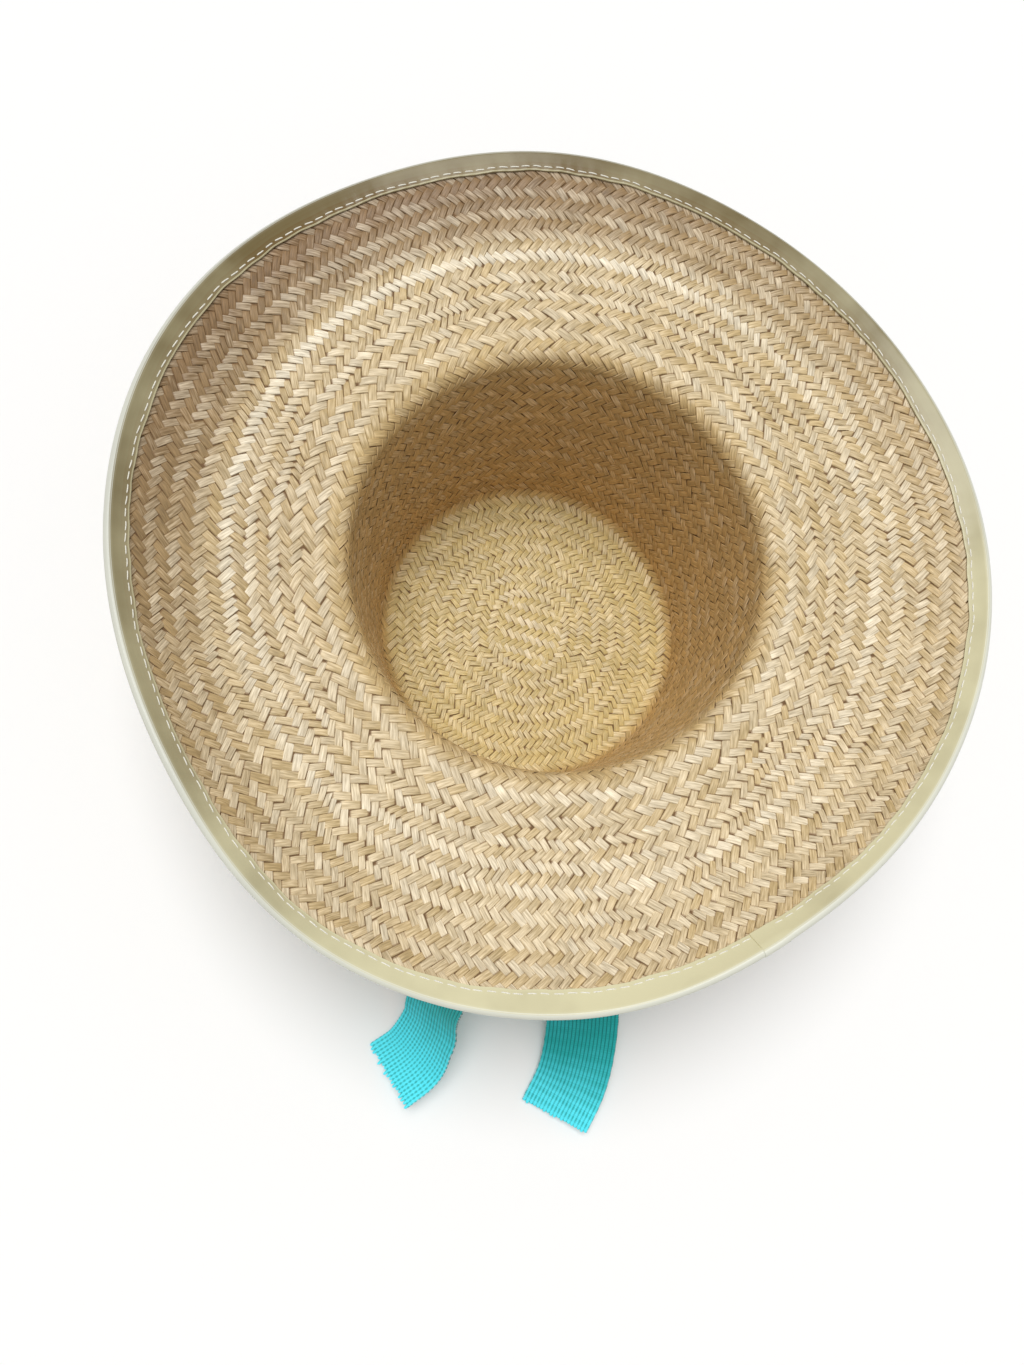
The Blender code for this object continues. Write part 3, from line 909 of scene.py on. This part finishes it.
class HAT_OT_binding(bpy.types.Operator):
    """Folds the vinyl tape over the brim's edge, with its puckers and its lapped ends"""

    bl_idname = "hat.binding"
    bl_label = "Edge Binding"

    def execute(self, context):
        settings = context.scene.hat_trim
        azimuth = np.linspace(0, 2 * np.pi, 1080, endpoint=False)
        azimuth = np.sort(np.append(azimuth, (SEAM_AT - 0.0004, SEAM_AT + 0.0004)))
        hem, fold = binding_places(azimuth)
        lapped = np.where(azimuth > SEAM_AT, np.clip(1 - (azimuth - SEAM_AT) / SEAM_LENGTH, 0, 1), 0)
        lap = SEAM_RISE * np.minimum(1, 3 * lapped)
        rows, places = [], []

        def row(share, side, out=0.0, skin=False, across=3.5):
            """Adds points at a share from hem to fold, side above the middle of the wall."""
            places.append(across)
            distance = hem + (fold - hem) * share
            puff = tape_pucker(azimuth, distance - hem, settings.stitch) if skin else 0
            lift = np.sign(side) * (puff + lap) if skin else 0
            place = brim_at(azimuth, distance)
            above = side - STRAW_WALL / 2 + lift
            rows.append(off_face(azimuth, place, above, out + (lap if out > 0 else 0)))

        skin_shares = (0.0, 0.02, 0.08, 0.17, 0.3, 0.5, 0.75, 0.93)
        row(0.0, TAPE_OUTER * 0.82, -0.0001, across=0.0)
        for share in skin_shares:
            row(share, TAPE_OUTER, skin=True, across=share)
        for turn in np.linspace(90, -90, 11):
            upwards, outwards = np.sin(np.radians(turn)), np.cos(np.radians(turn))
            row(1.0, TAPE_OUTER * upwards, TAPE_OUTER * outwards, across=1.5 - turn / 180)
        for share in skin_shares[::-1]:
            row(share, -TAPE_OUTER, skin=True, across=3 - share)
        row(0.0, -TAPE_OUTER * 0.82, -0.0001, across=3.0)
        for share in (0.0, 0.5, 1.0):
            row(share, -TAPE_INNER)
        for share in (1.0, 0.5, 0.0):
            row(share, TAPE_INNER)
        points = np.array(rows)
        faces = grid_faces(len(rows), len(azimuth), loop_rows=True, loop_columns=True)
        maps = (pair_map("Tape", azimuth[None, :] / 6.3, np.array(places)[:, None], faces),)
        new_piece("edge_tape", points.reshape(-1, 3), faces[:, ::-1], binding_look(settings),
                  ("edge_binding",), 50, maps)
        return {"FINISHED"}


class HAT_OT_stitches(bpy.types.Operator):
    """Sews one row of stitches along the binding's hem, on both faces"""

    bl_idname = "hat.stitches"
    bl_label = "Stitches"

    def execute(self, context):
        settings = context.scene.hat_trim
        chance = np.random.default_rng(3)
        look = Look("thread", Roughness=0.6, Specular_IOR_Level=0.3)
        twist = look.noise(look.place(), 2600.0, 1.0)
        base = tuple(settings.thread)
        look.set(Base_Color=look.mix(tuple(0.72 * part for part in base), base, twist.ramp(0.3, 0.6)))
        look.bump(twist, 0.0001, 0.5)
        turn = np.linspace(0, 2 * np.pi, 6, endpoint=False)
        share = np.linspace(-1, 1, 7)
        count = int(SEWN_ROUND / settings.stitch)
        shape = (count, len(share), len(turn))
        one = grid_faces(len(share), len(turn), loop_columns=True)
        last = (len(share) - 1) * len(turn)
        caps = np.array([[2, 1, 0, 5], [2, 5, 4, 3], [last, last + 1, last + 2, last + 5],
                         [last + 3, last + 4, last + 5, last + 2]])
        one = np.vstack([one, caps])
        all_points, all_faces = [], []
        for number, side in enumerate((1, -1)):
            middle = (np.arange(count) + 0.12 * chance.random(count)) / count * 2 * np.pi
            half = (0.39 + 0.04 * chance.random(count)) * 2 * np.pi / count
            azimuth = middle[:, None, None] + half[:, None, None] * share[None, :, None]
            ends = np.sqrt(np.clip(1 - 0.93 * share**8, 0, 1))
            width = THREAD_RADIUS * ends[None, :, None] * np.cos(turn)[None, None, :]
            height = 0.75 * THREAD_RADIUS * ends[None, :, None] * np.sin(turn)[None, None, :]
            lean = STITCH_LEAN * share[None, :, None] * side
            sag = THREAD_RADIUS * (1 - share**4)[None, :, None] - 0.4 * THREAD_RADIUS
            azimuth, width, height, lean, sag = [
                np.broadcast_to(a, shape).ravel() for a in (azimuth, width, height, lean, sag)]
            hem, _ = binding_places(azimuth)
            distance = hem + STITCH_INSET + (width + lean)
            puff = tape_pucker(azimuth, distance - hem, settings.stitch) * 0.6
            above = side * (TAPE_OUTER + puff + (sag + height)) - STRAW_WALL / 2
            all_points.append(off_face(azimuth, brim_at(azimuth, distance), above))
            turned = one[:, ::-1] if side > 0 else one
            first = (np.arange(count) + number * count) * len(share) * len(turn)
            all_faces.append((turned[None] + first[:, None, None]).reshape(-1, 4))
        new_piece("hem_stitches", np.concatenate(all_points), np.concatenate(all_faces), look.material,
                  (), 60)
        return {"FINISHED"}


def ribbon_section(ribs, depth):
    """Shares across a ribbon and the relief there: one round swell for each rib."""
    share = np.linspace(-1, 1, ribs * 5 + 1)
    relief = np.sqrt(np.abs(np.sin(np.pi * ribs * (share + 1) / 2)))
    return share, depth * relief


def ribbon_look(settings):
    """Ribbed ribbon: raised cords along it, fine cross threads, painted shade between the cords
    and painted highlights on raised threads, a painted shadow of the brim over it and painted
    light on the tails' cut ends.
    """
    look = Look("ribbed_ribbon", Roughness=0.6, Sheen_Weight=0.25, Sheen_Roughness=0.4,
                Specular_IOR_Level=0.3)
    look.shader.inputs["Sheen Tint"].default_value = (0.6, 1.0, 0.95, 1)
    across, along = look.map_pair("Ribbon")
    rib = abs((across * settings.ribs * np.pi).wave())
    weft = abs((along * (np.pi / WEFT)).wave())
    grid = rib.larger(weft).ramp(0.6, 0.97)
    soft = look.noise(look.place(), 60.0, 2.0)
    fine = look.noise(look.place(), 1500.0, 2.0)
    base = tuple(settings.ribbon)
    light = tuple(settings.ribbon_highlight)
    groove_shade = tuple(0.3 * part for part in base)
    # Painted light: the tails turn lighter towards their cut ends, out of the brim's painted shadow,
    # the left one sooner.
    leftwards = (look.split(look.place())[0] * -1).ramp(0.0, 0.05)
    end = (along + leftwards * 0.03).ramp(0.14, 0.185)
    # Painted highlights on the raised threads, stronger at the tails' ends.
    body = look.mix(base, light, rib * weft * 0.16 + end * (grid * 0.62 + 0.44) + (soft - 0.5) * 0.4)
    # Painted shade between the cords, less at the tails' ends.
    shaded = look.mix(body, groove_shade, (1 - rib.ramp(0.0, 0.55)) * (0.85 - end * 0.45))
    edge = abs(across - 0.5).ramp(0.487, 0.499)
    picot = (weft - 0.35).ramp(0.2, 0.5) * edge
    edged = look.mix(shaded, (0.62, 0.60, 0.60), picot * 0.8)
    look.set(Base_Color=look.shade(edged, 0.82 + fine * 0.36))
    look.bump(rib * 0.5 + weft * (end * 0.35 + 0.1) + fine * 0.15, 0.0003, 0.6)
    return look.material


def ribbon_grid(middle, sideways, face, spread, ribs, fray):
    """Points of a ribbed ribbon, round its section row by row, and its places across and along.

    Each place is middle + half width * share * sideways + (half thickness + relief) * face,
    and fray is how far each cord reaches past the cut.
    """
    share, relief = ribbon_section(ribs, TAIL_RIB_DEPTH)
    half = RIBBON_WIDTH / 2 * spread
    flat = middle[:, None] + (half * share)[..., None] * sideways[:, None]
    thick = (RIBBON_THICKNESS / 2 - RIB_DEPTH + relief)[None, :, None] * face[:, None]
    points = np.concatenate([flat + thick, (flat - thick)[:, ::-1]], axis=1)
    ahead = np.gradient(middle, axis=0)
    length = np.linalg.norm(ahead, axis=1, keepdims=True)
    reach = np.concatenate([fray, fray[::-1]])
    fade = np.clip((np.arange(len(middle)) - len(middle) + FRAY_STEPS + 1) / FRAY_STEPS, 0, 1) ** 1.5
    points = points + (fade[:, None] * reach[None, :])[..., None] * (ahead / length)[:, None]
    across = np.concatenate([share, share[::-1]]) / 2 + 0.5
    gone = np.concatenate([[0], np.cumsum(np.linalg.norm(np.diff(middle, axis=0), axis=1))])
    return points, across[None, :], gone[:, None]


def tail_run(rows, steps):
    """Middle, across direction, face direction and spread at each step of a tail's run."""
    padded = np.vstack([2 * rows[0] - rows[1], rows, 2 * rows[-1] - rows[-2]])
    turn = np.linspace(0, len(rows) - 1, steps + 1)
    row = np.minimum(np.floor(turn).astype(int), len(rows) - 2)
    near = [padded[row + k] for k in range(4)]
    run = dict(zip(TAIL_COLUMNS, cubic(*near, (turn - row)[:, None]).T))
    seat, upward, outward, side = knot_seat()
    below = KNOT_HEIGHT / 2 + PIECE_GAP + RIBBON_THICKNESS / 2
    start = seat - upward * below + outward * RIBBON_THICKNESS
    away = np.array([side[1], -side[0], 0])
    middle = np.outer(run["across"], side) + np.outer(run["out"], away)
    middle = middle * TAIL_LENGTH + start * (1, 1, 0)
    middle[:, 2] = run["height"] * start[2]
    heading = np.gradient(middle, axis=0)
    heading /= np.linalg.norm(heading, axis=1, keepdims=True)
    level = np.stack([-heading[:, 1], heading[:, 0], np.zeros(len(turn))], axis=1)
    level /= np.linalg.norm(level, axis=1, keepdims=True)
    over = np.cross(heading, level)
    tilt = np.radians(run["bank"])[:, None]
    sideways = level * np.cos(tilt) + over * np.sin(tilt)
    face = over * np.cos(tilt) - level * np.sin(tilt)
    return middle, sideways, face, run["spread"][:, None]


def knot_seat():
    """Middle of the knot's seat on the band, with its upward, outward and sideways directions."""
    azimuth = np.array([KNOT_TOWARDS])
    base = -STRAW_WALL - RIBBON_THICKNESS - 2 * PIECE_GAP
    top = off_face(azimuth, wall_at(azimuth, BAND_BELOW_BREAK), base)[0]
    bottom = off_face(azimuth, wall_at(azimuth, BAND_BELOW_BREAK + RIBBON_WIDTH), base)[0]
    upward = (top - bottom) / np.linalg.norm(top - bottom)
    side = np.array([-np.sin(KNOT_TOWARDS), np.cos(KNOT_TOWARDS), 0])
    return (top + bottom) / 2, upward, np.cross(side, upward), side


def capped(points):
    """Faces of a closed section swept along rows: its sides, and a strip of faces over each end."""
    rows, around = points.shape[:2]
    faces = grid_faces(rows, around, loop_columns=True)
    k = np.arange(around // 2 - 1)
    start = np.stack([k + 1, k, around - 1 - k, around - 2 - k], 1)
    end = start[:, ::-1] + (rows - 1) * around
    return np.vstack([faces, start, end])


def ribbon_piece(name, points, faces, across, along, look, node, turned=False):
    """Ribbon mesh with its map: place across the ribbon from 0 to 1, and metres along it.

    Turned faces point the other way, and keep the map in the order that it had before.
    """
    maps = (pair_map("Ribbon", across, along, faces),)
    faces = faces[:, ::-1] if turned else faces
    return new_piece(name, points.reshape(-1, 3), faces, look, (node,), 60, maps)


class HAT_OT_ribbon(bpy.types.Operator):
    """Lays the ribbed ribbon round the crown, with its knot and its two cut tails"""

    bl_idname = "hat.ribbon"
    bl_label = "Ribbon"

    def execute(self, context):
        settings = context.scene.hat_trim
        look = ribbon_look(settings)
        self.add_band(settings, look)
        self.add_knot(settings, look)
        self.add_tail("tail_left", "ribbon_tail_left", LEFT_TAIL_ROWS, settings, look, 11, 0.0028)
        self.add_tail("tail_right", "ribbon_tail_right", RIGHT_TAIL_ROWS, settings, look, 12, 0.0012)
        return {"FINISHED"}

    def add_band(self, settings, look):
        """Ribbed loop round the crown: the section carried round at one distance off the straw."""
        azimuth = np.linspace(0, 2 * np.pi, 160, endpoint=False)
        share, relief = ribbon_section(settings.ribs, RIB_DEPTH)
        down = BAND_BELOW_BREAK + RIBBON_WIDTH * (share + 1) / 2
        near = -STRAW_WALL - PIECE_GAP
        shape = (len(azimuth), len(share))
        place = [np.broadcast_to(p, shape) for p in wall_at(azimuth[:, None], down[None, :])]
        outer = off_face(azimuth[:, None], place, near - RIBBON_THICKNESS + RIB_DEPTH - relief[None, :])
        inner = off_face(azimuth[:, None], place, near)
        points = np.concatenate([outer, inner[:, ::-1]], axis=1)
        faces = grid_faces(len(azimuth), points.shape[1], loop_rows=True, loop_columns=True)
        across = np.concatenate([share, share[::-1]]) / 2 + 0.5
        piece = ribbon_piece("ribbon_round", points, faces, across[None, :],
                             -azimuth[:, None] * MOUTH_RADIUS, look, "ribbon_band")

    def add_knot(self, settings, look):
        """Wrap over the band: a rounded cushion section carried sideways, ribbed from end to end."""
        seat, upward, outward, side = knot_seat()
        share, relief = ribbon_section(KNOT_RIBS, RIB_DEPTH)
        turn = np.linspace(-1, 1, 31)
        thickness = KNOT_THICKNESS * np.sqrt(1 - KNOT_SIDE_TAPER * share**2)[:, None]
        rounding = np.sqrt(np.clip(1 - turn**16, 0.05, 1)) * (1 - KNOT_ROUNDING * turn**2)
        pinch = 1 - 0.16 * (1 - np.abs(turn))
        crease = KNOT_CREASE * np.cos(share[:, None] * 8 + 1.5 * turn**2 + 0.6 * turn)
        crease = crease * (1 - share[:, None] ** 2)
        line = seat + (share[:, None] * KNOT_WIDTH / 2 * pinch)[..., None] * side
        bulge = thickness * rounding + crease - KNOT_CREASE + relief[:, None]
        height = (turn * KNOT_HEIGHT / 2)[None, :, None] * upward
        top = line + height + bulge[..., None] * outward
        points = np.concatenate([top, (line + height)[:, ::-1]], axis=1)
        along = np.concatenate([turn, turn[::-1]]) * KNOT_HEIGHT / 2
        across = 0.5 + share * KNOT_RIBS / 2 / settings.ribs
        piece = ribbon_piece("knot_wrap", points, capped(points), across[:, None], along[None, :],
                             look, "ribbon_knot", turned=True)

    def add_tail(self, name, node, rows, settings, look, seed, fray):
        """Cut tail: the ribbed section carried along its run, its cords frayed at the cut."""
        middle, sideways, face, spread = tail_run(rows, TAIL_STEPS)
        share, comb = ribbon_section(settings.ribs, 1.0)
        chance = np.random.default_rng(seed)
        cords = fray * (0.2 + 0.8 * chance.random(settings.ribs + 1))
        cord = np.minimum((settings.ribs * (share + 1) / 2).astype(int), settings.ribs)
        reach = cords[cord] * comb - 0.3 * fray
        points, across, along = ribbon_grid(middle, sideways, face, spread, settings.ribs, reach)
        piece = ribbon_piece(name, points, capped(points), across, along, look, node, turned=True)


class HAT_OT_studio(bpy.types.Operator):
    """Sets the pale floor, the soft lights and the camera over the hat"""

    bl_idname = "hat.studio"
    bl_label = "Studio"

    def execute(self, context):
        settings = context.scene.hat_studio
        scene = context.scene
        mesh = bpy.data.meshes.new("studio_floor")
        corners = [(x * FLOOR_HALF, y * FLOOR_HALF, 0) for x, y in ((-1, -1), (1, -1), (1, 1), (-1, 1))]
        mesh.from_pydata(corners, [], [(0, 1, 2, 3)])
        look = Look("studio_paper", Roughness=0.9, Specular_IOR_Level=0.1)
        cloud = look.noise(look.place(), 3.0, 1.0)
        pale = tuple(settings.floor)
        look.set(Base_Color=look.mix(pale, tuple(0.995 * part for part in pale), cloud))
        mesh.materials.append(look.material)
        floor = bpy.data.objects.new("studio_floor", mesh)
        scene.collection.objects.link(floor)
        world = bpy.data.worlds.new("studio_sky")
        world.use_nodes = True
        sky = Nodes(world.node_tree)
        tint = (1.0, 0.985, 0.96)
        even = sky.node("ShaderNodeBackground", inputs={0: tint, 1: settings.sky})
        seen = sky.node("ShaderNodeBackground", inputs={0: (1.0, 1.0, 1.0), 1: settings.backdrop})
        straight = Value(sky, sky.node("ShaderNodeLightPath").outputs["Is Camera Ray"])
        mixed = {0: straight, 1: Value(sky, even.outputs[0]), 2: Value(sky, seen.outputs[0])}
        shown = sky.node("ShaderNodeMixShader", inputs=mixed)
        sky.feed(world.node_tree.nodes["World Output"].inputs[0], Value(sky, shown.outputs[0]))
        scene.world = world
        scene.view_settings.view_transform = "Standard"
        light = bpy.data.lights.new("lamp_above", "SUN")
        light.energy = settings.lamp
        light.angle = LAMP_WIDTH
        lamp = bpy.data.objects.new("lamp_above", light)
        back = LAMP_TOWARDS / np.linalg.norm(LAMP_TOWARDS)
        side = np.cross((0, 1, 0), back)
        side /= np.linalg.norm(side)
        lamp.matrix_world = self.pose(side, back, (0, 0, 1))
        scene.collection.objects.link(lamp)
        film = bpy.data.cameras.new("photo_view")
        film.sensor_width = CAMERA_FILM
        film.lens = CAMERA_LENS
        film.clip_start = 0.01
        camera = bpy.data.objects.new("photo_view", film)
        back = -CAMERA_AHEAD / np.linalg.norm(CAMERA_AHEAD)
        right = CAMERA_RIGHT - back * (CAMERA_RIGHT @ back)
        right /= np.linalg.norm(right)
        camera.matrix_world = self.pose(right, back, CAMERA_PLACE)
        scene.collection.objects.link(camera)
        scene.camera = camera
        return {"FINISHED"}

    @staticmethod
    def pose(right, back, place):
        """Matrix of an object at a place with its X and Z axes along two directions."""
        pose = Matrix.Identity(4)
        for column, axis in enumerate((right, np.cross(back, right), back, place)):
            for row in range(3):
                pose[row][column] = float(axis[row])
        return pose


class HAT_PT_panel(bpy.types.Panel):
    """Sizes, colours and steps of the sun hat"""

    bl_label = "Sun Hat"
    bl_idname = "HAT_PT_panel"
    bl_space_type = "VIEW_3D"
    bl_region_type = "UI"
    bl_category = "Sun Hat"

    def draw(self, context):
        layout = self.layout
        for group in (context.scene.hat_straw, context.scene.hat_trim, context.scene.hat_studio):
            box = layout.box()
            for name in group.bl_rna.properties.keys():
                if name not in ("rna_type", "name"):
                    box.prop(group, name)
        for operator in OPERATORS:
            layout.operator(operator.bl_idname)


GROUPS = (("hat_straw", StrawSettings), ("hat_trim", TrimSettings), ("hat_studio", StudioSettings))
OPERATORS = (HAT_OT_straw, HAT_OT_binding, HAT_OT_stitches, HAT_OT_ribbon, HAT_OT_studio)


def register():
    for name, group in GROUPS:
        bpy.utils.register_class(group)
        setattr(bpy.types.Scene, name, PointerProperty(type=group))
    for made in (*OPERATORS, HAT_PT_panel):
        bpy.utils.register_class(made)


def unregister():
    for made in (HAT_PT_panel, *OPERATORS[::-1]):
        bpy.utils.unregister_class(made)
    for name, group in GROUPS[::-1]:
        delattr(bpy.types.Scene, name)
        bpy.utils.unregister_class(group)


def main():
    register()
    bpy.ops.hat.straw()
    bpy.ops.hat.binding()
    bpy.ops.hat.stitches()
    bpy.ops.hat.ribbon()
    bpy.ops.hat.studio()


if __name__ == "__main__":
    main()
